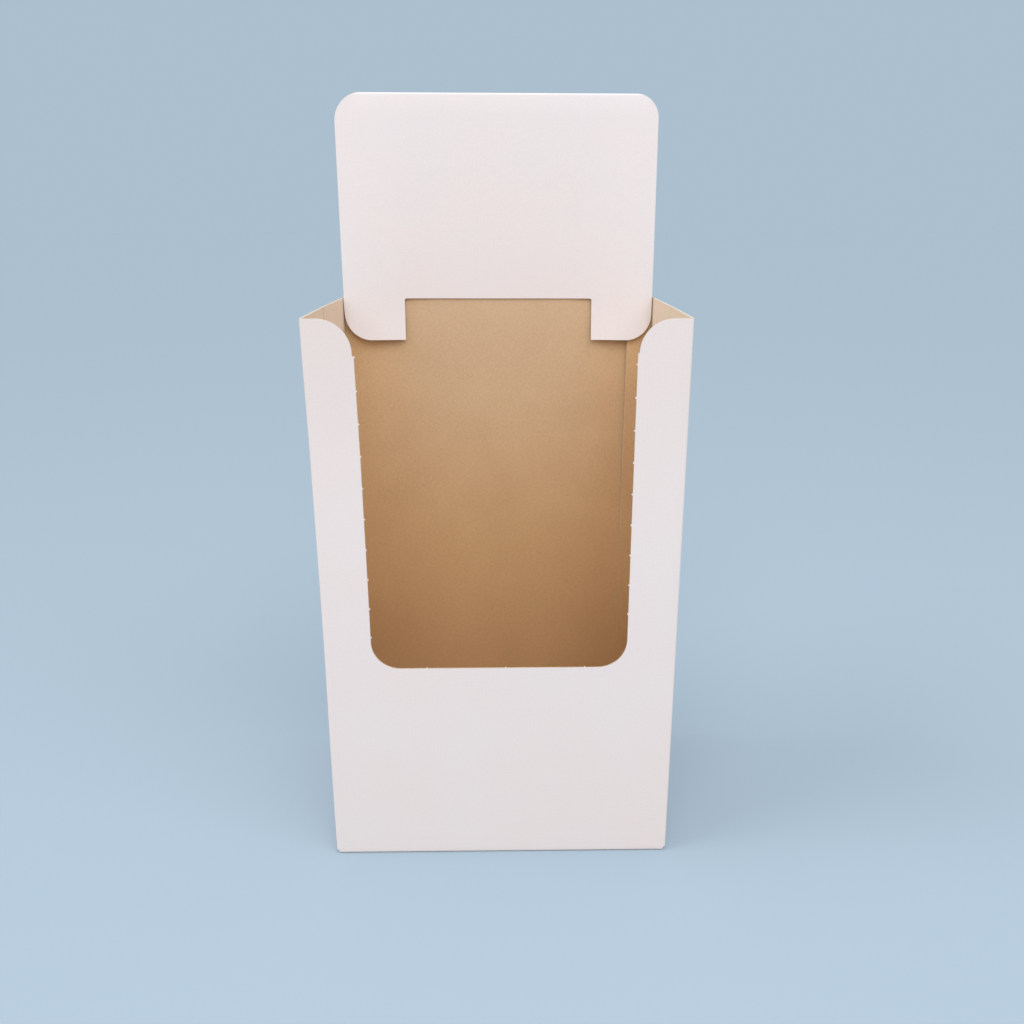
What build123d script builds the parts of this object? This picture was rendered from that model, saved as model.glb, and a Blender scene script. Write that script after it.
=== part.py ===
from build123d import *
import os

# Open-front pallet box, folded and glued from one die-cut sheet of corrugated board.
# Frame: origin on the floor under the middle of the box, +Z up, the window faces -Y.
# Every size is in millimetres.

# Box
box_width = 600.0  # outside, left to right
box_depth = 400.0  # outside, front to back
rim_height = 960.0  # floor to the top edge of the walls
board = 3.0  # thickness of the sheet
fold_inside = 1.0  # inner radius of a scored fold

# Window torn out of the front panel, open at the rim
left_strip = 80.0  # panel left standing beside the window
right_strip = 84.0
sill_height = 371.0  # floor to the lower edge of the window
sill_corner = 49.0  # radius of the window's lower corners
strip_corner = 50.0  # radius at the top of each strip

# Nicks of board left where the torn-out piece was held
nick_length = 3.0
nick_tip = 1.2
nick_proud = 2.0
side_nick_pitch = 53.0
left_first_nick = 9.0  # below the rounded top of the strip
right_first_nick = 22.0
sill_nick_pitch = 135.0
sill_first_nick = 49.0  # from the sill's left corner

# Header: the back panel runs on upwards, turns over and comes down in front
header_rise = 361.0  # above the rim
header_taper = 1.0  # each side, from the rim to the top
header_corner = 50.0
header_clearance = 1.0  # between the header's edge and a side wall
layer_clearance = 0.5  # between the header's front layer and the glue flap
leg_drop = 81.0  # reach of the two legs below the rim
leg_corner = 50.0
notch_width = 359.0  # between the legs
notch_corner = 4.0
notch_drop = 2.0  # top edge of the notch, below the rim

# Glue flap inside the back panel
glue_flap_width = 48.0
glue_flap_bevel = 20.0  # taken off each end of its free edge

# Score line down the middle of each side wall
score_width = 2.4
score_depth = 0.8

# Bottom: flaps of the front and back panels outside, flaps of the side walls above them
bottom_seam = 2.0  # between the two outer flaps
slot_width = 4.5  # from the outside of a wall to the edge of its neighbour's flap
slot_clearance = 0.5  # by which the slots between flaps run up past the folds

# Values worked out from the sizes above
fold_outside = board + fold_inside
left_side, right_side = -box_width / 2, box_width / 2
front, back = -box_depth / 2, box_depth / 2
left_edge, right_edge = left_side + left_strip, right_side - right_strip  # of the window
header_half = box_width / 2 - board - header_clearance
header_top = rim_height + header_rise
header_spine = 3 * board + layer_clearance  # header's top, across both layers and the gap
leg_end = rim_height - leg_drop
flap_length = (box_depth - bottom_seam) / 2  # of a bottom flap, from the outside of its wall
slot_height = board + fold_outside + slot_clearance  # floor to the top of the slots
wall_height = rim_height - slot_height
margin = 5.0  # how far a cutting shape runs past the board


def strip(*points):
    """Section of the board: its outer skin is folded at each inner point and has the board on its left."""
    skin = [Vector(*point) for point in points]
    runs = [(end - start).normalized() for start, end in zip(skin, skin[1:])]
    inward = [Vector(-run.Y, run.X) * board for run in runs]
    shifts = [inward[0], *(a + b for a, b in zip(inward, inward[1:])), inward[-1]]
    lining = [point + shift for point, shift in zip(skin, shifts)]
    outside = FilletPolyline(*skin, radius=fold_outside)
    inside = FilletPolyline(*lining, radius=fold_inside)
    ends = [Line(skin[0], lining[0]), Line(skin[-1], lining[-1])]
    return make_face([*outside.edges(), *inside.edges(), *ends])


def outline(*points):
    return make_face(Polyline(*points, close=True))


def round_corners(sketch, corners, radius):
    return fillet([sketch.vertices().sort_by_distance(corner)[0] for corner in corners], radius)


def make_walls():
    """Back, left, front and right walls as one strip, closed by the glue flap."""
    glued_face = back - board
    flap_edge = right_side - glue_flap_width
    last_straight = (right_side, glued_face - 2 * fold_outside)
    corners = [(right_side, back), (left_side, back), (left_side, front), (right_side, front)]
    around = strip(*corners, last_straight)
    walls = extrude(around, wall_height)

    bevel_start = right_side - fold_outside
    flap_shape = outline(
        (right_side + margin, 0),
        (right_side + margin, wall_height),
        (bevel_start, wall_height),
        (flap_edge, wall_height - glue_flap_bevel),
        (flap_edge, glue_flap_bevel),
        (bevel_start, 0),
    )
    flap = extrude(strip(last_straight, (right_side, glued_face), (flap_edge, glued_face)), wall_height)
    flap &= extrude(Plane.XZ * flap_shape, box_depth, both=True)
    return Pos(0, 0, slot_height) * (walls + flap)


def steps(start, pitch, end):
    """Evenly spaced places from start up to end."""
    return [start + pitch * k for k in range(int((end - start) // pitch) + 1)]


def make_nicks():
    """Outlines of the nicks along the window's cut edges, each pointing into the window."""
    half, tip = nick_length / 2, nick_tip / 2
    nick = outline((-half, 0), (-tip, nick_proud), (tip, nick_proud), (half, 0))
    edge_top = rim_height - strip_corner
    edge_length = edge_top - sill_height - sill_corner - nick_length
    sill_start = left_edge + sill_corner
    sill_length = right_edge - sill_corner - sill_start - nick_length
    left_drops = steps(left_first_nick, side_nick_pitch, edge_length)
    right_drops = steps(right_first_nick, side_nick_pitch, edge_length)
    sill_places = steps(sill_first_nick, sill_nick_pitch, sill_length)
    left_nicks = [Pos(left_edge, edge_top - drop) * Rot(0, 0, -90) * nick for drop in left_drops]
    right_nicks = [Pos(right_edge, edge_top - drop) * Rot(0, 0, 90) * nick for drop in right_drops]
    sill_nicks = [Pos(sill_start + along, sill_height) * nick for along in sill_places]
    return left_nicks + right_nicks + sill_nicks


def make_window():
    """Cutting shape of the window, with the nicks left standing."""
    edge = FilletPolyline(
        (left_side, rim_height),
        (left_edge, rim_height),
        (left_edge, sill_height),
        (right_edge, sill_height),
        (right_edge, rim_height),
        (right_side, rim_height),
        radius=[strip_corner, sill_corner, sill_corner, strip_corner],
    )
    above = rim_height + margin
    closing = Polyline(
        (right_side, rim_height), (right_side, above), (left_side, above), (left_side, rim_height)
    )
    window = make_face([*edge.edges(), *closing.edges()]) - make_nicks()
    return Pos(0, front + board / 2, 0) * extrude(Plane.XZ * window, board / 2 + margin, both=True)


def make_header():
    """Upper back panel, its turn-over and the front layer with two legs, cut to one outline."""
    front_skin = back - header_spine
    section = strip((back, rim_height), (back, header_top), (front_skin, header_top), (front_skin, leg_end))
    layers = extrude(Plane.YZ * section, header_half, both=True)

    top_half = header_half - header_taper
    tops = [(top_half, header_top), (-top_half, header_top)]
    feet = [(-header_half, leg_end), (header_half, leg_end)]
    shape = outline(*feet, (header_half, rim_height), *tops, (-header_half, rim_height))
    shape = round_corners(shape, tops, header_corner)
    shape = round_corners(shape, feet, leg_corner)

    notch_top = rim_height - notch_drop
    notch = Pos(0, notch_top - leg_drop / 2) * Rectangle(notch_width, leg_drop)
    notch_tops = [(-notch_width / 2, notch_top), (notch_width / 2, notch_top)]
    shape -= round_corners(notch, notch_tops, notch_corner)
    return layers & extrude(Plane.XZ * shape, box_depth, both=True)


def bottom_flap(wall_skin, underside):
    """Section of a wall's foot and its flap."""
    return strip((wall_skin, slot_height), (wall_skin, underside), (wall_skin + flap_length, underside))


def make_bottom():
    """Outer flaps on the floor, and inner flaps glued on top of them."""
    outer = extrude(Plane.YZ * bottom_flap(front, 0), box_width / 2 - slot_width, both=True)
    inner = extrude(Plane.XZ * bottom_flap(left_side, board), box_depth / 2 - slot_width, both=True)
    return [outer, mirror(outer, Plane.XZ), inner, mirror(inner, Plane.YZ)]


def make_scores():
    """Grooves down the inner faces of the side walls, half way back."""
    inner_face = right_side - board
    half = score_width / 2
    groove = outline((inner_face, -half), (inner_face + score_depth, 0), (inner_face, half))
    cut = Pos(0, 0, slot_height) * extrude(groove, wall_height)
    return [cut, mirror(cut, Plane.YZ)]


folded_box = make_walls() - make_window() - make_scores()
folded_box = folded_box + make_header() + make_bottom()

os.makedirs("parts", exist_ok=True)
export_step(folded_box, "parts/folded_box.step")
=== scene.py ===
import math

import bmesh
import bpy
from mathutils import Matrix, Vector


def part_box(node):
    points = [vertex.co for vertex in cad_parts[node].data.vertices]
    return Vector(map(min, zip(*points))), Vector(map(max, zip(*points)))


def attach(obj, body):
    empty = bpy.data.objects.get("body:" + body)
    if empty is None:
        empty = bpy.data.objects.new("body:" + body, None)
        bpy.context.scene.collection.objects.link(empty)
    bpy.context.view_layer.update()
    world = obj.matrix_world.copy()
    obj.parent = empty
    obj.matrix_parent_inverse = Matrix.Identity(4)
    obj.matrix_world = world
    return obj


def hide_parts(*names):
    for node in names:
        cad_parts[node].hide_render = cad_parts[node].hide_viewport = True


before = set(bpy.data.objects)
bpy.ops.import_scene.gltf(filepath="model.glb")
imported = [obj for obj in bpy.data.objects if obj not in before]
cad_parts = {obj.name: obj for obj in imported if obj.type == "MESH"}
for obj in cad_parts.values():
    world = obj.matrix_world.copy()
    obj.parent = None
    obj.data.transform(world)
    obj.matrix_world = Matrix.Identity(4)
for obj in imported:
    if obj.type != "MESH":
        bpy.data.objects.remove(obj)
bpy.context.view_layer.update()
boxLow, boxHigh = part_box("folded_box")
left, right = boxLow.x, boxHigh.x
front, back = boxLow.y, boxHigh.y
width, depth, top = right - left, back - front, boxHigh.z
hair = 1e-5  # closer than this counts as the same place
print("frame loaded,", [round(size, 3) for size in (width, depth, top)], "m")


# Edit mode helpers

def near(a, b):
    return abs(a - b) < hair


def everywhere(p):
    return True


def startFresh():
    if bpy.context.mode != "OBJECT":
        bpy.ops.object.mode_set(mode="OBJECT")
    bpy.ops.object.select_all(action="DESELECT")


def pick(kind, test):  # selects what has every corner in the tested place
    bpy.ops.mesh.select_mode(type=kind)
    bpy.ops.mesh.select_all(action="DESELECT")
    data = bpy.context.edit_object.data
    mesh = bmesh.from_edit_mesh(data)
    for part in {"VERT": mesh.verts, "EDGE": mesh.edges, "FACE": mesh.faces}[kind]:
        spots = [part.co] if kind == "VERT" else [corner.co for corner in part.verts]
        if all(test(spot) for spot in spots):
            part.select_set(True)
    mesh.select_flush_mode()
    bmesh.update_edit_mesh(data)


def cutAcross(axis, places, test=everywhere):
    normal = Vector([float(axis == name) for name in "xyz"])
    for place in places:
        pick("FACE", test)
        bpy.ops.mesh.bisect(plane_co=normal * place, plane_no=normal)


def pullOut(shift):
    bpy.ops.mesh.extrude_region_move(TRANSFORM_OT_translate={"value": shift})


def takeAway(test):
    pick("FACE", test)
    bpy.ops.mesh.delete(type="FACE")


def steps(start, pitch, end):
    return [start + pitch * k for k in range(int((end - start) / pitch + hair) + 1)]


arcSteps = 14
hollowProfile = 0.0858  # bevel profile that comes out as a hollow quarter circle


def roundOff(test, radius, profile=0.5):
    pick("VERT", test)
    bpy.ops.mesh.bevel(offset=radius, segments=arcSteps, profile=profile, affect="VERTICES")


# The sheet: four walls, a header turned over at the top, a glue flap and a folded bottom

sheet = {
    "board": 0.003,
    "foldRadius": 0.0038,  # outside of a scored fold
    "foldSteps": 5,
    "glueFilm": 0.0002,  # between glued layers
    "glueFlap": 0.0505,
    "glueFlapBevel": 0.020,
    "slotTop": 0.0075,  # floor to the top of the slots between the bottom flaps
    "slotWidth": 0.0045,
    "bottomSeam": 0.002,
    "scoreWidth": 0.0024,  # groove down the inside of each side wall
    "scoreDepth": 0.0008,
    "grid": 0.05,  # spacing of the lines that let the panels bow
    "gridStart": 0.035,  # first of them, from an edge
    "smoothAngle": 32,  # degrees, sharper edges stay crisp
}
window = {
    "leftStrip": 0.080,
    "rightStrip": 0.084,
    "sill": 0.371,
    "sillCorner": 0.049,
    "stripCorner": 0.0525,
    "stripInset": 0.0025,  # the strips are narrower above the torn edge
    "leftTear": 0.005,  # from a strip's rounded top down to the torn edge
    "rightTear": 0.0005,
}
nicks = {  # bits of board left where the torn-out piece was held
    "length": 0.003,
    "tip": 0.4,  # share of the length
    "proud": 0.002,
    "pitch": 0.0524,
    "leftFirst": 0.0015,  # below the top of the torn edge
    "rightFirst": 0.0185,
    "sillPitch": 0.1353,
    "sillFirst": 0.0447,  # from the sill's left corner
    "band": 0.010,  # of the panel that is cut up to make them
}
header = {
    "rise": 0.361,  # above the rim
    "taper": 0.001,
    "clearance": 0.001,
    "leftCorner": 0.050,
    "rightCorner": 0.042,
    "spine": 0.0095,  # across both layers at the top
    "legDrop": 0.0798,
    "legCorner": 0.0485,
    "leftTaper": (0.001, 0.0045),  # front layer draws in at its side edge, at the rim and the feet
    "rightTaper": (0.0, 0.001),
    "notch": 0.3587,
    "notchDrop": 0.0020,  # top of the notch below the rim
    "notchCorner": 0.004,
}
board = sheet["board"]
rim = top - header["rise"]
slotTop = sheet["slotTop"]
sill = window["sill"]
windowLeft, windowRight = left + window["leftStrip"], right - window["rightStrip"]
leftTear = rim - window["stripCorner"] - window["leftTear"]
rightTear = rim - window["stripCorner"] - window["rightTear"]
frontLayer = back - header["spine"]
headerHalf = width / 2 - board - header["clearance"]
glueFace = back - board - sheet["glueFilm"]
flapEdge = right - sheet["glueFlap"]
wallFrom, wallFull = right - 3 * board, right - 2 * board  # inner faces of the walls lie past these
layersFrom = back - 4 * board  # back panel and the layers in front of it


def startFront():
    startFresh()
    middle = (0, front, (rim + slotTop) / 2)
    bpy.ops.mesh.primitive_plane_add(size=1, location=middle, rotation=(math.pi / 2, 0, 0))
    box = bpy.context.object
    box.name = box.data.name = "cardBox"
    box.scale = (width, rim - slotTop, 1)
    bpy.ops.object.transform_apply(location=True, rotation=True, scale=True)
    bpy.ops.object.mode_set(mode="EDIT")
    return box


def cutWindow():
    corner = window["sillCorner"]
    insideLeft, insideRight, insideLow = windowLeft + corner, windowRight - corner, sill + corner
    stripLeft, stripRight = windowLeft - window["stripInset"], windowRight + window["stripInset"]
    cutAcross("x", [windowLeft, insideLeft, insideRight, windowRight])
    cutAcross("z", [sill, insideLow])
    takeAway(lambda p: windowLeft - hair < p.x < windowRight + hair and p.z > insideLow - hair)
    takeAway(lambda p: insideLeft - hair < p.x < insideRight + hair and p.z > sill - hair)
    for tear, edge, inset in ((leftTear, windowLeft, stripLeft), (rightTear, windowRight, stripRight)):
        onSide = lambda p: abs(p.x - edge) < window["rightStrip"] + hair
        cutAcross("z", [tear], onSide)
        cutAcross("x", [inset], lambda p: onSide(p) and p.z > tear - hair)
        takeAway(lambda p: abs(p.x - edge) < window["stripInset"] + hair and p.z > tear - hair)
    roundOff(
        lambda p: (near(p.x, insideLeft) or near(p.x, insideRight)) and near(p.z, insideLow),
        corner - hair,
        hollowProfile,
    )
    roundOff(
        lambda p: (near(p.x, stripLeft) or near(p.x, stripRight)) and near(p.z, rim),
        window["stripCorner"],
    )


def foldWalls():
    pick("EDGE", lambda p: near(p.x, left))
    pullOut((0, depth, 0))
    pick("EDGE", lambda p: near(p.x, left) and near(p.y, back))
    pullOut((width, 0, 0))
    pick("EDGE", lambda p: near(p.x, right) and near(p.y, front))
    pullOut((0, glueFace - front, 0))
    pick("EDGE", lambda p: near(p.x, right) and near(p.y, glueFace))
    pullOut((-sheet["glueFlap"], 0, 0))
    for end, way in ((rim, -1), (slotTop, 1)):
        pick("VERT", lambda p: near(p.x, flapEdge) and near(p.y, glueFace) and near(p.z, end))
        bpy.ops.transform.translate(value=(0, 0, way * sheet["glueFlapBevel"]))


def raiseHeader():
    cutAcross("x", [-headerHalf, headerHalf], lambda p: near(p.y, back) and p.z > sill + hair)
    pick("EDGE", lambda p: near(p.y, back) and near(p.z, rim) and abs(p.x) < headerHalf + hair)
    pullOut((0, 0, header["rise"]))
    pullOut((0, -header["spine"], 0))
    pullOut((0, 0, -header["rise"]))
    pullOut((0, 0, -header["legDrop"]))
    pick("VERT", lambda p: near(p.z, top))
    narrower = 1 - header["taper"] / headerHalf
    bpy.ops.transform.resize(value=(narrower, 1, 1), center_override=(0, back, top))


def cutNotch():
    corner, half = header["notchCorner"], header["notch"] / 2
    notchTop, legEnd = rim - header["notchDrop"], rim - header["legDrop"]
    inside, insideTop = half - corner, notchTop - corner
    legs = lambda p: near(p.y, frontLayer) and p.z < rim + hair
    cutAcross("x", [-half, -inside, inside, half], legs)
    cutAcross("z", [insideTop, notchTop], legs)
    takeAway(lambda p: legs(p) and abs(p.x) < half + hair and p.z < insideTop + hair)
    takeAway(lambda p: legs(p) and abs(p.x) < inside + hair and p.z < notchTop + hair)
    roundOff(
        lambda p: near(p.y, frontLayer) and near(abs(p.x), inside) and near(p.z, insideTop),
        corner - hair,
        hollowProfile,
    )
    for side, taper in ((-headerHalf, header["leftTaper"]), (headerHalf, header["rightTaper"])):
        for height, drawnIn in zip((rim, legEnd), taper):
            pick("VERT", lambda p: near(p.x, side) and near(p.y, frontLayer) and near(p.z, height))
            bpy.ops.transform.translate(value=(math.copysign(drawnIn, -side), 0, 0))
        foot = side - math.copysign(taper[1], side)
        roundOff(lambda p: near(p.x, foot) and near(p.z, legEnd), header["legCorner"])


def foldBottom():
    reach = (depth - sheet["bottomSeam"]) / 2
    slot = sheet["slotWidth"]
    low = lambda p: p.z < sill + hair
    for wall, way in ((front, 1), (back, -1)):  # outer flaps
        cutAcross("x", [left + slot, right - slot], lambda p: near(p.y, wall) and low(p))
        onFold = lambda p: near(p.y, wall) and near(p.z, slotTop)
        pick("EDGE", lambda p: onFold(p) and abs(p.x) < right - slot + hair)
        pullOut((0, 0, -slotTop))
        pullOut((0, way * reach, 0))
    for wall, way, end in ((left, 1, back - slot), (right, -1, glueFace - slot)):  # inner flaps, on top
        cutAcross("y", [front + slot, end], lambda p: near(p.x, wall) and low(p))
        onFold = lambda p: near(p.x, wall) and near(p.z, slotTop)
        pick("EDGE", lambda p: onFold(p) and front + slot - hair < p.y < end + hair)
        pullOut((0, 0, board + sheet["glueFilm"] - slotTop))
        pullOut((way * reach, 0, 0))


def creaseFolds():
    innerFlaps = board + sheet["glueFilm"]
    folds = [
        lambda p: near(p.x, left) and near(p.y, front),
        lambda p: near(p.x, right) and near(p.y, front),
        lambda p: near(p.x, left) and near(p.y, back),
        lambda p: near(p.x, right) and near(p.y, glueFace),
        lambda p: near(p.z, 0) and near(abs(p.y), back),
        lambda p: near(p.z, innerFlaps) and near(abs(p.x), right),
        lambda p: near(p.z, top) and near(p.y, back),
        lambda p: near(p.z, top) and near(p.y, frontLayer),
    ]
    for fold in folds:
        pick("EDGE", fold)
        bpy.ops.mesh.bevel(offset=sheet["foldRadius"], segments=sheet["foldSteps"], affect="EDGES")


def trimHeader():
    for way, radius in ((-1, header["leftCorner"]), (1, header["rightCorner"])):
        centre = Vector((way * (headerHalf - header["taper"] - radius), 0, top - radius))
        for k in range(arcSteps):
            turn = math.pi / 2 * (k + 0.5) / arcSteps
            outward = Vector((way * math.sin(turn), 0, math.cos(turn)))
            pick("FACE", lambda p: p.z > rim - hair)
            bpy.ops.mesh.bisect(plane_co=centre + radius * outward, plane_no=outward, clear_outer=True)


def leaveNick(along, way, place):  # along the edge that runs in z or x, at the given place on it
    half = nicks["length"] / 2
    x, z = place
    if along == "z":
        middle, shift = z, Vector((way * nicks["proud"], 0, 0))
        inBand = lambda p: abs(p.x - x) < nicks["band"] + hair and near(p.y, front) and p.z > sill
        onEdge = lambda p: near(p.x, x) and near(p.y, front) and abs(p.z - z) < half + hair
        squeeze = (1, 1, nicks["tip"])
    else:
        middle, shift = x, Vector((0, 0, way * nicks["proud"]))
        inBand = lambda p: sill - nicks["band"] - hair < p.z < sill + hair and near(p.y, front)
        onEdge = lambda p: near(p.z, sill) and near(p.y, front) and abs(p.x - x) < half + hair
        squeeze = (nicks["tip"], 1, 1)
    cutAcross(along, [middle - half, middle + half], inBand)
    pick("EDGE", onEdge)
    pullOut(shift)
    bpy.ops.transform.resize(value=squeeze, center_override=Vector((x, front, z)) + shift)


def leaveNicks():
    onFront = lambda p: near(p.y, front)
    band, length, corner = nicks["band"], nicks["length"], window["sillCorner"]
    cutAcross("x", [windowLeft - band, windowRight + band], onFront)
    cutAcross("z", [sill - band], onFront)
    edgeEnd = sill + corner + length
    for drop in steps(nicks["leftFirst"], nicks["pitch"], leftTear - edgeEnd):
        leaveNick("z", 1, (windowLeft, leftTear - drop))
    for drop in steps(nicks["rightFirst"], nicks["pitch"], rightTear - edgeEnd):
        leaveNick("z", -1, (windowRight, rightTear - drop))
    sillStart = windowLeft + corner
    sillEnd = windowRight - corner - sillStart - length
    for place in steps(nicks["sillFirst"], nicks["sillPitch"], sillEnd):
        leaveNick("x", 1, (sillStart + place, sill))


def addGrid():
    grid, start = sheet["grid"], sheet["gridStart"]
    half = sheet["scoreWidth"] / 2
    cutAcross("y", [-half, 0, half], lambda p: near(abs(p.x), right))
    cutAcross("x", steps(left + start, grid, right))
    cutAcross("y", steps(front + start, grid, back - grid / 2))
    cutAcross("z", steps(start, grid, top - grid / 2))
    curlTop, curlGrid = rim + bends["curlReach"], bends["curlGrid"]
    onLayer = lambda p: near(p.y, frontLayer)
    legs = lambda p: onLayer(p) and p.z < curlTop + hair
    cutAcross("z", [curlTop], onLayer)
    cutAcross("z", steps(rim - header["legDrop"] + curlGrid, bends["legGrid"], curlTop), legs)
    curlLines = steps(curlGrid, curlGrid, bends["curlWidth"])
    leanLines = steps(bends["leanFrom"], bends["leanGrid"], bends["leanTo"])
    for way in (-1, 1):
        cutAcross("x", [way * (headerHalf - inset) for inset in curlLines], legs)
        cutAcross("x", [way * place for place in leanLines], onLayer)


def joinSheet():
    bpy.ops.mesh.select_all(action="SELECT")
    bpy.ops.mesh.remove_doubles(threshold=3 * hair)
    bpy.ops.mesh.select_all(action="SELECT")
    bpy.ops.mesh.normals_make_consistent(inside=False)
    data = bpy.context.edit_object.data
    mesh = bmesh.from_edit_mesh(data)
    belowSill = Vector((0, front, sill / 2))
    lowerFront = min(mesh.faces, key=lambda face: (face.calc_center_median() - belowSill).length)
    if lowerFront.normal.y > 0:
        bpy.ops.mesh.flip_normals()
    bpy.ops.object.mode_set(mode="OBJECT")


def layFlat(box):  # map of the unfolded board: across the flutes, then along them
    flat = box.data.uv_layers.new(name="flat")
    mostly = 0.7  # part of a normal that makes a face look that way
    for face in box.data.polygons:
        facing = [abs(part) for part in face.normal]
        innerFlap = facing[2] > mostly and abs(face.center.z - board) < board / 2
        for corner in face.loop_indices:
            p = box.data.vertices[box.data.loops[corner].vertex_index].co
            across, along = (p.x, p.z)
            if innerFlap:
                across, along = (p.y, p.x)
            elif facing[2] > mostly:
                across, along = (p.x, p.y)
            elif facing[0] > mostly:
                across, along = (p.y, p.z)
            flat.data[corner].uv = (across, along)


bends = {  # small set of the card
    "middleLean": -0.0033,  # header's front layer at the rim, forward of its place
    "legLean": 0.007,  # the same at the legs' outer edges
    "leanFrom": 0.12,  # from the middle, where the layer starts to come forward
    "leanTo": 0.29,
    "leanGrid": 0.0125,  # spacing of the lines that carry it
    "legBow": 0.006,  # legs come forward some more at their feet
    "legCurl": 0.0018,  # outer edges of the legs turn back
    "curlWidth": 0.016,
    "curlReach": 0.048,  # above the rim, where the curl ends
    "curlGrid": 0.004,  # spacing of the lines that carry it
    "legGrid": 0.012,
    "headerTilt": 0.0018,  # header's top edge is up at the left and down at the right
    "tiltLoss": 0.3,  # share of that tilt that is gone at the rim
    "rightDraw": 0.001,  # header's right edge is drawn in
    "flapLift": 0.011,  # free edge of the glue flap comes away where the glue stops
    "flapLiftAt": 0.86,  # height of the most lift
    "flapLiftAbove": 0.09,  # reach of the lift up and down from there
    "flapLiftBelow": 0.50,
    "flapLiftPower": 1.5,  # how quickly it dies away
    "stripSpread": 0.0024,  # top of the left strip stands outwards
    "spreadFrom": 0.72,  # height where that starts
    "leftBulge": 0.0028,  # side walls stand out at their scores, most at the rim
    "rightBulge": 0.0022,
    "bulgeFrom": 0.25,  # height where that starts
    "rightDrop": 0.0015,  # rim is lower on the right wall and strip
    "dropFrom": 0.86,  # height where that starts
    "waist": 0.0013,  # left wall is drawn in at the front
    "waistAt": 0.45,  # height of the most
    "waistReach": 0.35,  # up and down from there
}


def smooth(value, low, high):
    share = min(1, max(0, (value - low) / (high - low)))
    return share * share * (3 - 2 * share)


def bendSheet(box):
    for vertex in box.data.vertices:
        p = vertex.co
        if near(abs(p.x), right):  # side walls
            bulge = bends["leftBulge"] if p.x < 0 else bends["rightBulge"]
            bulge *= smooth(p.z, bends["bulgeFrom"], rim) * (1 - abs(p.y) / back)
            vertex.co.x += math.copysign(bulge, p.x)
        onLayer = abs(p.y - frontLayer) < board / 3
        if onLayer:
            outward = smooth(abs(p.x), bends["leanFrom"], bends["leanTo"])
            lean = bends["middleLean"] + (bends["legLean"] - bends["middleLean"]) * outward
            vertex.co.y -= lean * (top - p.z) / header["rise"]
        if onLayer and p.z < rim:  # legs
            vertex.co.y -= bends["legBow"] * ((rim - p.z) / header["legDrop"]) ** 2
        if onLayer and p.z < rim + bends["curlReach"]:
            inset = max(0, 1 - (headerHalf - abs(p.x)) / bends["curlWidth"])
            fade = min(1, (rim + bends["curlReach"] - p.z) / bends["curlReach"])
            vertex.co.y += bends["legCurl"] * inset ** 2 * fade
        if onLayer or p.z > rim:
            down = (top - p.z) / header["rise"]
            fade = 1 if onLayer else 1 - down
            tilt = bends["headerTilt"] * (1 - bends["tiltLoss"] * down)
            vertex.co.z -= tilt * p.x / headerHalf * fade
            vertex.co.x -= bends["rightDraw"] * smooth(p.x, header["notch"] / 2, headerHalf) * fade
        elif p.x > windowRight - hair and p.y < glueFace + hair:  # right wall and strip
            vertex.co.z -= bends["rightDrop"] * smooth(p.z, bends["dropFrom"], rim)
        if near(p.y, glueFace) and p.x < right - board:  # glue flap
            share = min(1, max(0, (right - p.x) / sheet["glueFlap"]))
            reach = bends["flapLiftAbove"] if p.z > bends["flapLiftAt"] else bends["flapLiftBelow"]
            fade = max(0, 1 - abs(p.z - bends["flapLiftAt"]) / reach)
            vertex.co.y -= bends["flapLift"] * share ** 2 * fade ** bends["flapLiftPower"]
        if p.z < rim + hair and p.y < layersFrom:  # left wall and strip
            spread = bends["stripSpread"] * smooth(p.z, bends["spreadFrom"], rim)
            waist = bends["waist"] * (1 - smooth(abs(p.z - bends["waistAt"]), 0, bends["waistReach"]))
            share = (back - p.y) / depth * (1 - smooth(p.x, windowLeft, windowRight))
            vertex.co.x += (waist - spread) * share


kraftIndex, edgeIndex = 1, 2  # places of the finishes, after the white liner


def thicken(box):
    corners = len(box.data.vertices)
    solid = box.modifiers.new("boardThickness", "SOLIDIFY")
    solid.thickness = board
    solid.offset = -1
    solid.use_even_offset = True
    solid.use_quality_normals = True
    solid.material_offset = kraftIndex
    solid.material_offset_rim = edgeIndex
    bpy.ops.object.modifier_apply(modifier=solid.name)
    side = box.data.attributes.new("side", "FLOAT", "POINT")  # 0 on the white face, 1 on the kraft
    for index, value in enumerate(side.data):
        value.value = float(index >= corners)
    flapFront = glueFace - bends["flapLift"] - board
    for face in box.data.polygons:  # painted shade: the glue flap's cut edge takes the darker kraft finish, for the gap shadow along the lifted flap's edge
        spots = [box.data.vertices[corner].co for corner in face.vertices]
        onFlap = sum(near(p.x, flapEdge) and p.y > flapFront for p in spots)
        if face.material_index == edgeIndex and onFlap == 2:
            face.material_index = kraftIndex
    for vertex in box.data.vertices[corners:]:
        p = vertex.co
        if abs(p.x) > wallFull and p.z > slotTop and abs(p.y) < 10 * hair:  # bottom of the score
            vertex.co.x += math.copysign(sheet["scoreDepth"], p.x)
    bpy.ops.object.shade_smooth_by_angle(angle=math.radians(sheet["smoothAngle"]))


cardBox = startFront()
cutWindow()
foldWalls()
raiseHeader()
cutNotch()
foldBottom()
creaseFolds()
trimHeader()
leaveNicks()
addGrid()
joinSheet()
print("sheet cut and folded,", len(cardBox.data.polygons), "faces")
layFlat(cardBox)
bendSheet(cardBox)


# Finishes

def addNode(tree, kind, inputs=None, **settings):
    node = tree.nodes.new(kind)
    for name, value in settings.items():
        setattr(node, name, value)
    for socket, value in (inputs or {}).items():
        if isinstance(value, bpy.types.NodeSocket):
            tree.links.new(value, node.inputs[socket])
        else:
            node.inputs[socket].default_value = value
    return node


def newFinish(name, roughness):
    finish = bpy.data.materials.new(name)
    finish.use_nodes = True
    tree = finish.node_tree
    shader = tree.nodes["Principled BSDF"]
    shader.inputs["Roughness"].default_value = roughness
    shader.inputs["Specular IOR Level"].default_value = 0.3  # paper has little gloss
    return finish, tree, shader


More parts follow.
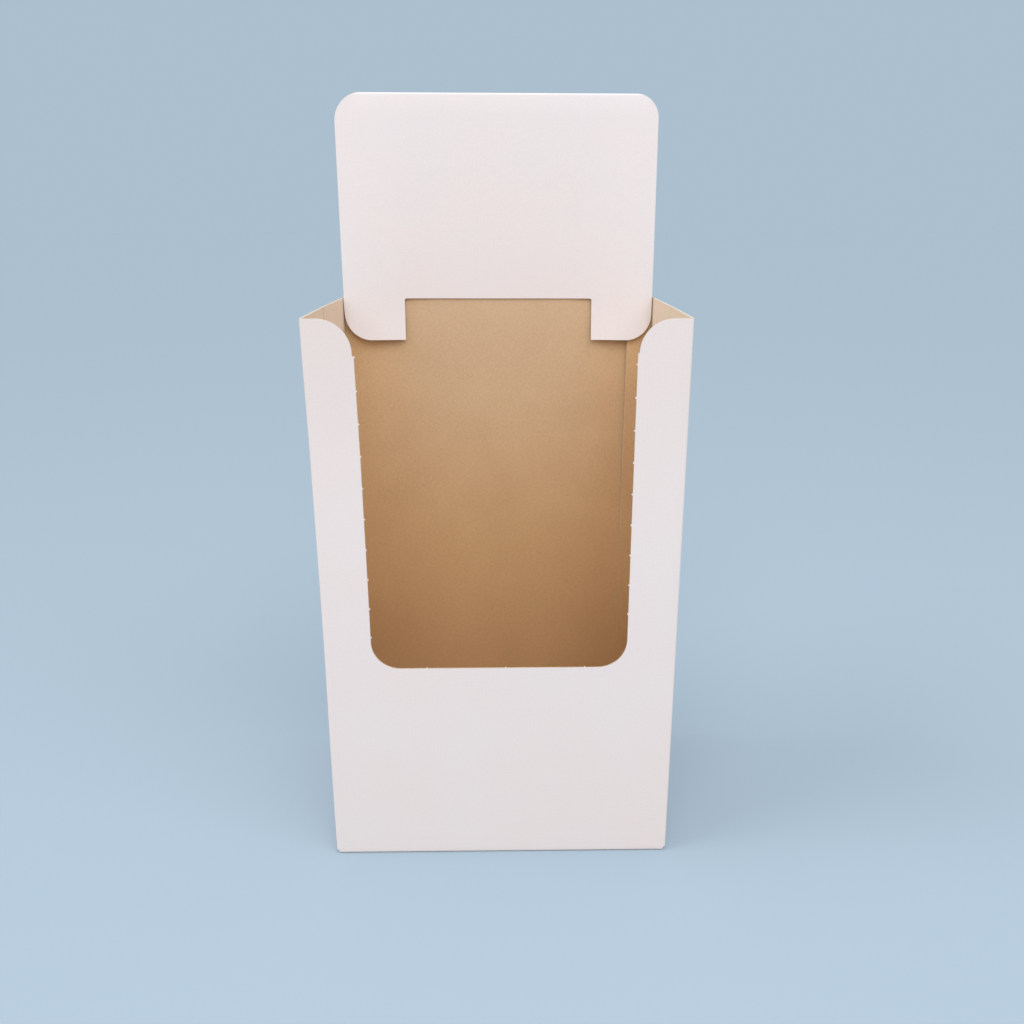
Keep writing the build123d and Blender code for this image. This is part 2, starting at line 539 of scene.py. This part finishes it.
def calc(tree, operation, a, b=0.0):
    return addNode(tree, "ShaderNodeMath", {0: a, 1: b}, operation=operation).outputs[0]


def ease(tree, value, low, high, start=0.0, end=1.0):  # smooth step from start to end
    sockets = {"Value": value, "From Min": low, "From Max": high, "To Min": start, "To Max": end}
    return addNode(tree, "ShaderNodeMapRange", sockets, interpolation_type="SMOOTHSTEP").outputs[0]


def blendColours(tree, share, first, second, way="MIX"):
    node = addNode(tree, "ShaderNodeMix", data_type="RGBA", blend_type=way)
    factor, a, b = node.inputs["Factor"], node.inputs[6], node.inputs[7]
    for socket, value in ((factor, share), (a, first), (b, second)):
        if isinstance(value, bpy.types.NodeSocket):
            tree.links.new(value, socket)
        else:
            socket.default_value = value if isinstance(value, float) else (*value, 1)
    return node.outputs[2]


def tint(tree, colour, tone):  # darkens a colour by a tone from 0 to 1
    grey = addNode(tree, "ShaderNodeCombineColor", {0: tone, 1: tone, 2: tone}).outputs[0]
    return blendColours(tree, 1.0, colour, grey, "MULTIPLY")


noiseRoughness = 0.55


def grain(tree, place, scale, detail=2.0, stretch=(1, 1, 1)):
    if stretch != (1, 1, 1):
        place = addNode(tree, "ShaderNodeMapping", {"Vector": place, "Scale": stretch}).outputs[0]
    sockets = {"Vector": place, "Scale": scale, "Detail": detail, "Roughness": noiseRoughness}
    return addNode(tree, "ShaderNodeTexNoise", sockets).outputs[0]


def flatMap(tree):
    flat = addNode(tree, "ShaderNodeUVMap", uv_map="flat").outputs[0]
    across = addNode(tree, "ShaderNodeSeparateXYZ", {0: flat}).outputs[0]
    return flat, across


def fluteWave(tree, across, pitch):
    return calc(tree, "SINE", calc(tree, "MULTIPLY", across, 2 * math.pi / pitch))


def raiseSurface(tree, shader, height):
    bump = addNode(tree, "ShaderNodeBump", {"Height": height, "Strength": 1.0, "Distance": 1.0})
    tree.links.new(bump.outputs[0], shader.inputs["Normal"])


flutePitch = 0.0065
cloudRange, mottleRange = (0.35, 0.65), (0.3, 0.7)  # of the noise, from one colour to the other

whiteFinish = {
    "warm": (0.834, 0.775, 0.785),
    "cool": (0.821, 0.780, 0.797),
    "paintedShade": (0.790, 0.720, 0.717),  # painted shade towards the rim, at the front, where the strips' tops get less light
    "paintedShadeFrom": 0.62,  # height where it starts, most at the rim
    "paintedShadeDepth": 0.15,  # from the front, where it ends
    "rightPaintedShade": 0.65,  # strength at the right
    "speck": (0.62, 0.56, 0.52),
    "cloudScale": 5.0,
    "mottleScale": 300.0,
    "mottle": 0.035,
    "speckScale": 900.0,
    "speckRange": (0.74, 0.80),
    "speckStrength": 0.5,
    "roughness": 0.6,
    "fluteHeight": 0.000012,
    "grainHeight": 0.00003,
    "grainScale": 1500.0,
}


def makeWhiteLiner():
    finish, tree, shader = newFinish("whiteLiner", whiteFinish["roughness"])
    place = addNode(tree, "ShaderNodeTexCoord").outputs["Object"]
    across = flatMap(tree)[1]
    cloud = ease(tree, grain(tree, place, whiteFinish["cloudScale"]), *cloudRange)
    colour = blendColours(tree, cloud, whiteFinish["cool"], whiteFinish["warm"])
    x, y, z = addNode(tree, "ShaderNodeSeparateXYZ", {0: place}).outputs
    # painted shade: the front darkens towards the rim, less so at the right
    upward = ease(tree, z, whiteFinish["paintedShadeFrom"], rim)
    forward = ease(tree, y, front, front + whiteFinish["paintedShadeDepth"], 1.0, 0.0)
    sideways = ease(tree, x, left, right, 1.0, whiteFinish["rightPaintedShade"])
    shadeShare = calc(tree, "MULTIPLY", calc(tree, "MULTIPLY", upward, forward), sideways)
    colour = blendColours(tree, shadeShare, colour, whiteFinish["paintedShade"])
    mottle = grain(tree, place, whiteFinish["mottleScale"], 4.0)
    tone = ease(tree, mottle, *mottleRange, 1 - whiteFinish["mottle"], 1.0)
    colour = tint(tree, colour, tone)
    specks = grain(tree, place, whiteFinish["speckScale"], 1.0)
    specks = ease(tree, specks, *whiteFinish["speckRange"], 0.0, whiteFinish["speckStrength"])
    colour = blendColours(tree, specks, colour, whiteFinish["speck"])
    tree.links.new(colour, shader.inputs["Base Color"])
    flutes = calc(tree, "MULTIPLY", fluteWave(tree, across, flutePitch), whiteFinish["fluteHeight"])
    tooth = grain(tree, place, whiteFinish["grainScale"])
    tooth = calc(tree, "MULTIPLY", tooth, whiteFinish["grainHeight"])
    raiseSurface(tree, shader, calc(tree, "ADD", flutes, tooth))
    return finish


kraftFinish = {
    "light": (0.714, 0.483, 0.267),
    "dark": (0.643, 0.420, 0.226),
    "paintedLight": (0.620, 0.465, 0.335),  # painted light: paler where more light falls, in the middle of the back panel
    "paintedLightShare": 0.5,
    "paintedLightFrom": 0.45,  # height where it starts, most at the rim
    "paintedLightHalf": (0.28, 0.12),  # from the middle, where it starts and is full
    "deepShade": (0.732, 0.466, 0.212),  # painted shade: a deeper, more saturated brown deep in the box, where mostly bounced light reaches
    "deepShadeShare": 0.5,
    "deepShadeBelow": 0.75,  # height where it starts, most at the sill
    "paintedSideLight": (0.80, 0.63, 0.42),  # painted light: the right wall is paler near the rim, where light falls in from the left
    "sideLightShare": 0.5,
    "sideLightFrom": 0.5,
    "fibreColour": (0.30, 0.19, 0.11),
    "paleColour": (0.78, 0.63, 0.47),
    "crease": (0.10, 0.045, 0.03),
    "cloudScale": 7.0,
    "mottleScale": 260.0,
    "mottle": 0.10,
    "fibreStretch": (160, 1100, 1),  # fibres lie across the flutes
    "fibreScale": 1.7,
    "fibreRange": (0.68, 0.76),
    "fibreStrength": 0.55,
    "paleStretch": (1100, 160, 1),
    "paleScale": 1.3,
    "paleStrength": 0.4,
    "roughness": 0.75,
    "fuzz": 0.6,  # loose fibres that catch grazing light
    "dashPitch": 0.007,  # cut and uncut length of the perforated crease
    "dashWidth": 0.0022,
    "dashBlur": (0.7, 1.3),  # of half the width
    "dashCut": (0.35, 0.5),  # of half the pitch, where a cut starts
    "rightDashes": 0.3,  # strength on the right wall, where they hardly show
    "fluteHeight": 0.00002,
    "grainHeight": 0.00006,
    "grainScale": 1200.0,
}


def makeKraftLiner():
    finish, tree, shader = newFinish("kraftLiner", kraftFinish["roughness"])
    shader.inputs["Sheen Weight"].default_value = kraftFinish["fuzz"]
    place = addNode(tree, "ShaderNodeTexCoord").outputs["Object"]
    flat, across = flatMap(tree)
    streak = grain(tree, flat, 1.0, 4.0, kraftFinish["fibreStretch"])
    cloud = grain(tree, place, kraftFinish["cloudScale"])
    shade = calc(tree, "MULTIPLY", calc(tree, "ADD", streak, cloud), 0.5)  # their mean
    shade = ease(tree, shade, *cloudRange)
    colour = blendColours(tree, shade, kraftFinish["dark"], kraftFinish["light"])
    x, y, z = addNode(tree, "ShaderNodeSeparateXYZ", {0: place}).outputs
    # painted light: the middle of the back panel is paler towards the rim
    upward = ease(tree, z, kraftFinish["paintedLightFrom"], rim, 0.0, kraftFinish["paintedLightShare"])
    inward = ease(tree, calc(tree, "ABSOLUTE", x), *kraftFinish["paintedLightHalf"])
    fade = calc(tree, "MULTIPLY", upward, inward)
    colour = blendColours(tree, fade, colour, kraftFinish["paintedLight"])
    # painted shade: deeper, more saturated brown towards the sill
    downward = ease(tree, z, kraftFinish["deepShadeBelow"], sill, 0.0, kraftFinish["deepShadeShare"])
    colour = blendColours(tree, downward, colour, kraftFinish["deepShade"])
    # painted light on the right wall's inner face, towards the rim
    onRight = ease(tree, x, wallFrom, wallFull)
    sideLight = ease(tree, z, kraftFinish["sideLightFrom"], rim, 0.0, kraftFinish["sideLightShare"])
    sideLight = calc(tree, "MULTIPLY", sideLight, onRight)
    colour = blendColours(tree, sideLight, colour, kraftFinish["paintedSideLight"])
    mottle = grain(tree, place, kraftFinish["mottleScale"], 4.0)
    tone = ease(tree, mottle, *mottleRange, 1 - kraftFinish["mottle"], 1.0)
    colour = tint(tree, colour, tone)
    for name in ("fibre", "pale"):
        fibres = grain(tree, flat, kraftFinish[name + "Scale"], 1.0, kraftFinish[name + "Stretch"])
        fibres = ease(tree, fibres, *kraftFinish["fibreRange"], 0.0, kraftFinish[name + "Strength"])
        colour = blendColours(tree, fibres, colour, kraftFinish[name + "Colour"])
    onWall = ease(tree, calc(tree, "ABSOLUTE", x), wallFrom, wallFull)
    halfDash, halfPitch = kraftFinish["dashWidth"] / 2, kraftFinish["dashPitch"] / 2
    dashSides = [halfDash * share for share in kraftFinish["dashBlur"]]
    dashEnds = [halfPitch * share for share in kraftFinish["dashCut"]]
    inLine = ease(tree, calc(tree, "ABSOLUTE", y), *dashSides, 1.0, 0.0)
    dashes = ease(tree, calc(tree, "PINGPONG", z, halfPitch), *dashEnds)
    strength = ease(tree, x, left, right, 1.0, kraftFinish["rightDashes"])
    crease = calc(tree, "MULTIPLY", calc(tree, "MULTIPLY", onWall, inLine), dashes)
    crease = calc(tree, "MULTIPLY", crease, strength)
    colour = blendColours(tree, crease, colour, kraftFinish["crease"])
    tree.links.new(colour, shader.inputs["Base Color"])
    flutes = calc(tree, "MULTIPLY", fluteWave(tree, across, flutePitch), kraftFinish["fluteHeight"])
    tooth = grain(tree, place, kraftFinish["grainScale"], 3.0)
    tooth = calc(tree, "MULTIPLY", tooth, kraftFinish["grainHeight"])
    raiseSurface(tree, shader, calc(tree, "ADD", flutes, tooth))
    return finish


edgeFinish = {
    "white": (0.95, 0.92, 0.88),
    "paper": (0.94, 0.87, 0.77),
    "hollowShade": (0.68, 0.55, 0.41),
    "linerShare": 0.13,  # of the thickness, for each liner
    "rolledShare": 0.28,  # of the thickness, where the die rolls the white liner over the edge
    "waveShare": 0.34,
    "mediumShare": 0.10,
    "mediumBlur": 1.5,  # times its share, where each layer ends
    "linerBlur": 1.3,
    "rolledBlur": 0.8,
    "fuzz": 0.15,  # how much darker it gets
    "roughness": 0.85,
    "depth": 0.0005,
    "fuzzScale": 1500.0,
}


def makeCutEdge():
    finish, tree, shader = newFinish("cutEdge", edgeFinish["roughness"])
    place = addNode(tree, "ShaderNodeTexCoord").outputs["Object"]
    across = flatMap(tree)[1]
    side = addNode(tree, "ShaderNodeAttribute", attribute_name="side").outputs["Fac"]
    wave = calc(tree, "MULTIPLY", fluteWave(tree, across, flutePitch), edgeFinish["waveShare"])
    fromMiddle = calc(tree, "SUBTRACT", side, 0.5)
    fromMedium = calc(tree, "ABSOLUTE", calc(tree, "SUBTRACT", fromMiddle, wave))
    thick, liner = edgeFinish["mediumShare"], edgeFinish["linerShare"]
    linerEnd = liner * edgeFinish["linerBlur"]
    medium = ease(tree, fromMedium, thick, thick * edgeFinish["mediumBlur"], 1.0, 0.0)
    outer = ease(tree, side, liner, linerEnd, 1.0, 0.0)
    inner = ease(tree, side, 1 - linerEnd, 1 - liner)
    paper = calc(tree, "MAXIMUM", medium, calc(tree, "MAXIMUM", outer, inner))
    # the flute hollows between the papers take a darker colour: painted shade inside them
    colour = blendColours(tree, paper, edgeFinish["hollowShade"], edgeFinish["paper"])
    rolled = edgeFinish["rolledShare"]
    skin = ease(tree, side, rolled * edgeFinish["rolledBlur"], rolled, 1.0, 0.0)
    colour = blendColours(tree, skin, colour, edgeFinish["white"])
    fuzz = grain(tree, place, edgeFinish["fuzzScale"], 3.0)
    fuzz = ease(tree, fuzz, *mottleRange, 1 - edgeFinish["fuzz"], 1.0)
    colour = tint(tree, colour, fuzz)
    tree.links.new(colour, shader.inputs["Base Color"])
    raiseSurface(tree, shader, calc(tree, "MULTIPLY", paper, edgeFinish["depth"]))
    return finish


for finish in (makeWhiteLiner(), makeKraftLiner(), makeCutEdge()):  # the order that thicken counts on
    cardBox.data.materials.append(finish)
thicken(cardBox)
print("board thickened and finished,", len(cardBox.data.polygons), "faces")

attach(cardBox, "root")
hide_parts("folded_box")


# Camera and studio

view = {
    "place": (0.0040, -1.6358, 1.1035),
    "turn": (72.510, 0.1397, -0.7153),  # degrees
    "lens": 32.6835,
    "sensor": 36,
}


def addCamera():
    startFresh()
    turn = [math.radians(angle) for angle in view["turn"]]
    bpy.ops.object.camera_add(location=view["place"], rotation=turn)
    camera = bpy.context.object
    camera.data.sensor_width = view["sensor"]
    camera.data.lens = view["lens"]
    bpy.context.scene.camera = camera


studio = {
    "floorColour": (0.37, 0.47, 0.56),
    "floorBounce": (0.36, 0.36, 0.36),  # light it sends back has no tint
    "floorSize": 160.0,
    "floorDrop": 0.0003,  # keeps the floor off the box's underside
    "backdrop": (0.410, 0.522, 0.621),  # past the floor's far edge
    "ambient": 0.85,
    "rightKey": 0.134,  # light that falls squarely on a surface
    "leftKey": 0.247,
    "rightKeyFrom": (0.55, -0.45, 0.70),
    "leftKeyFrom": (-0.72, -0.15, 0.67),
    "keySpread": 35,  # degrees
    "keyDistance": 4,
    "fill": 53.0,  # watts
    "fillPlace": (0, -2.8, 3.4),
    "fillAim": (0, 0.1, 0.85),
    "fillSize": 2.4,
}


def addFloor():
    startFresh()
    place = (0, 0, -studio["floorDrop"])
    bpy.ops.mesh.primitive_plane_add(size=studio["floorSize"], location=place)
    floor = bpy.context.object
    floor.name = floor.data.name = "studioFloor"
    bpy.ops.object.transform_apply(location=True, rotation=True, scale=True)
    paper = bpy.data.materials.new("studioPaper")
    paper.use_nodes = True
    tree = paper.node_tree
    shader = tree.nodes["Principled BSDF"]
    shader.inputs["Roughness"].default_value = 0.9
    shader.inputs["Specular IOR Level"].default_value = 0.0
    seen = addNode(tree, "ShaderNodeLightPath").outputs["Is Camera Ray"]
    colour = blendColours(tree, seen, studio["floorBounce"], studio["floorColour"])
    tree.links.new(colour, shader.inputs["Base Color"])
    floor.data.materials.append(paper)


def addSky():
    world = bpy.data.worlds.new("studioSky")
    bpy.context.scene.world = world
    world.use_nodes = True
    tree = world.node_tree
    glow = tree.nodes["Background"]
    glow.inputs["Color"].default_value = (1, 1, 1, 1)
    glow.inputs["Strength"].default_value = studio["ambient"]
    drop = addNode(tree, "ShaderNodeBackground", {"Color": (*studio["backdrop"], 1), "Strength": 1.0})
    seen = addNode(tree, "ShaderNodeLightPath").outputs["Is Camera Ray"]
    both = addNode(tree, "ShaderNodeMixShader", {0: seen, 1: glow.outputs[0], 2: drop.outputs[0]})
    tree.links.new(both.outputs[0], tree.nodes["World Output"].inputs["Surface"])


def addLamp(kind, name, place, aim, power):
    startFresh()
    turn = (Vector(aim) - Vector(place)).to_track_quat("-Z", "Y").to_euler()
    bpy.ops.object.light_add(type=kind, location=place, rotation=turn)
    lamp = bpy.context.object
    lamp.name = lamp.data.name = name
    lamp.data.energy = power
    lamp.visible_camera = False
    return lamp.data


def addLight():
    for name in ("rightKey", "leftKey"):
        away = Vector(studio[name + "From"])
        sun = addLamp("SUN", name, away * studio["keyDistance"], (0, 0, 0), studio[name] * math.pi)
        sun.angle = math.radians(studio["keySpread"])
    fill = addLamp("AREA", "fill", studio["fillPlace"], studio["fillAim"], studio["fill"])
    fill.size = studio["fillSize"]
    bpy.context.scene.view_settings.view_transform = "Standard"


addCamera()
addFloor()
addSky()
addLight()
print("camera and studio set")
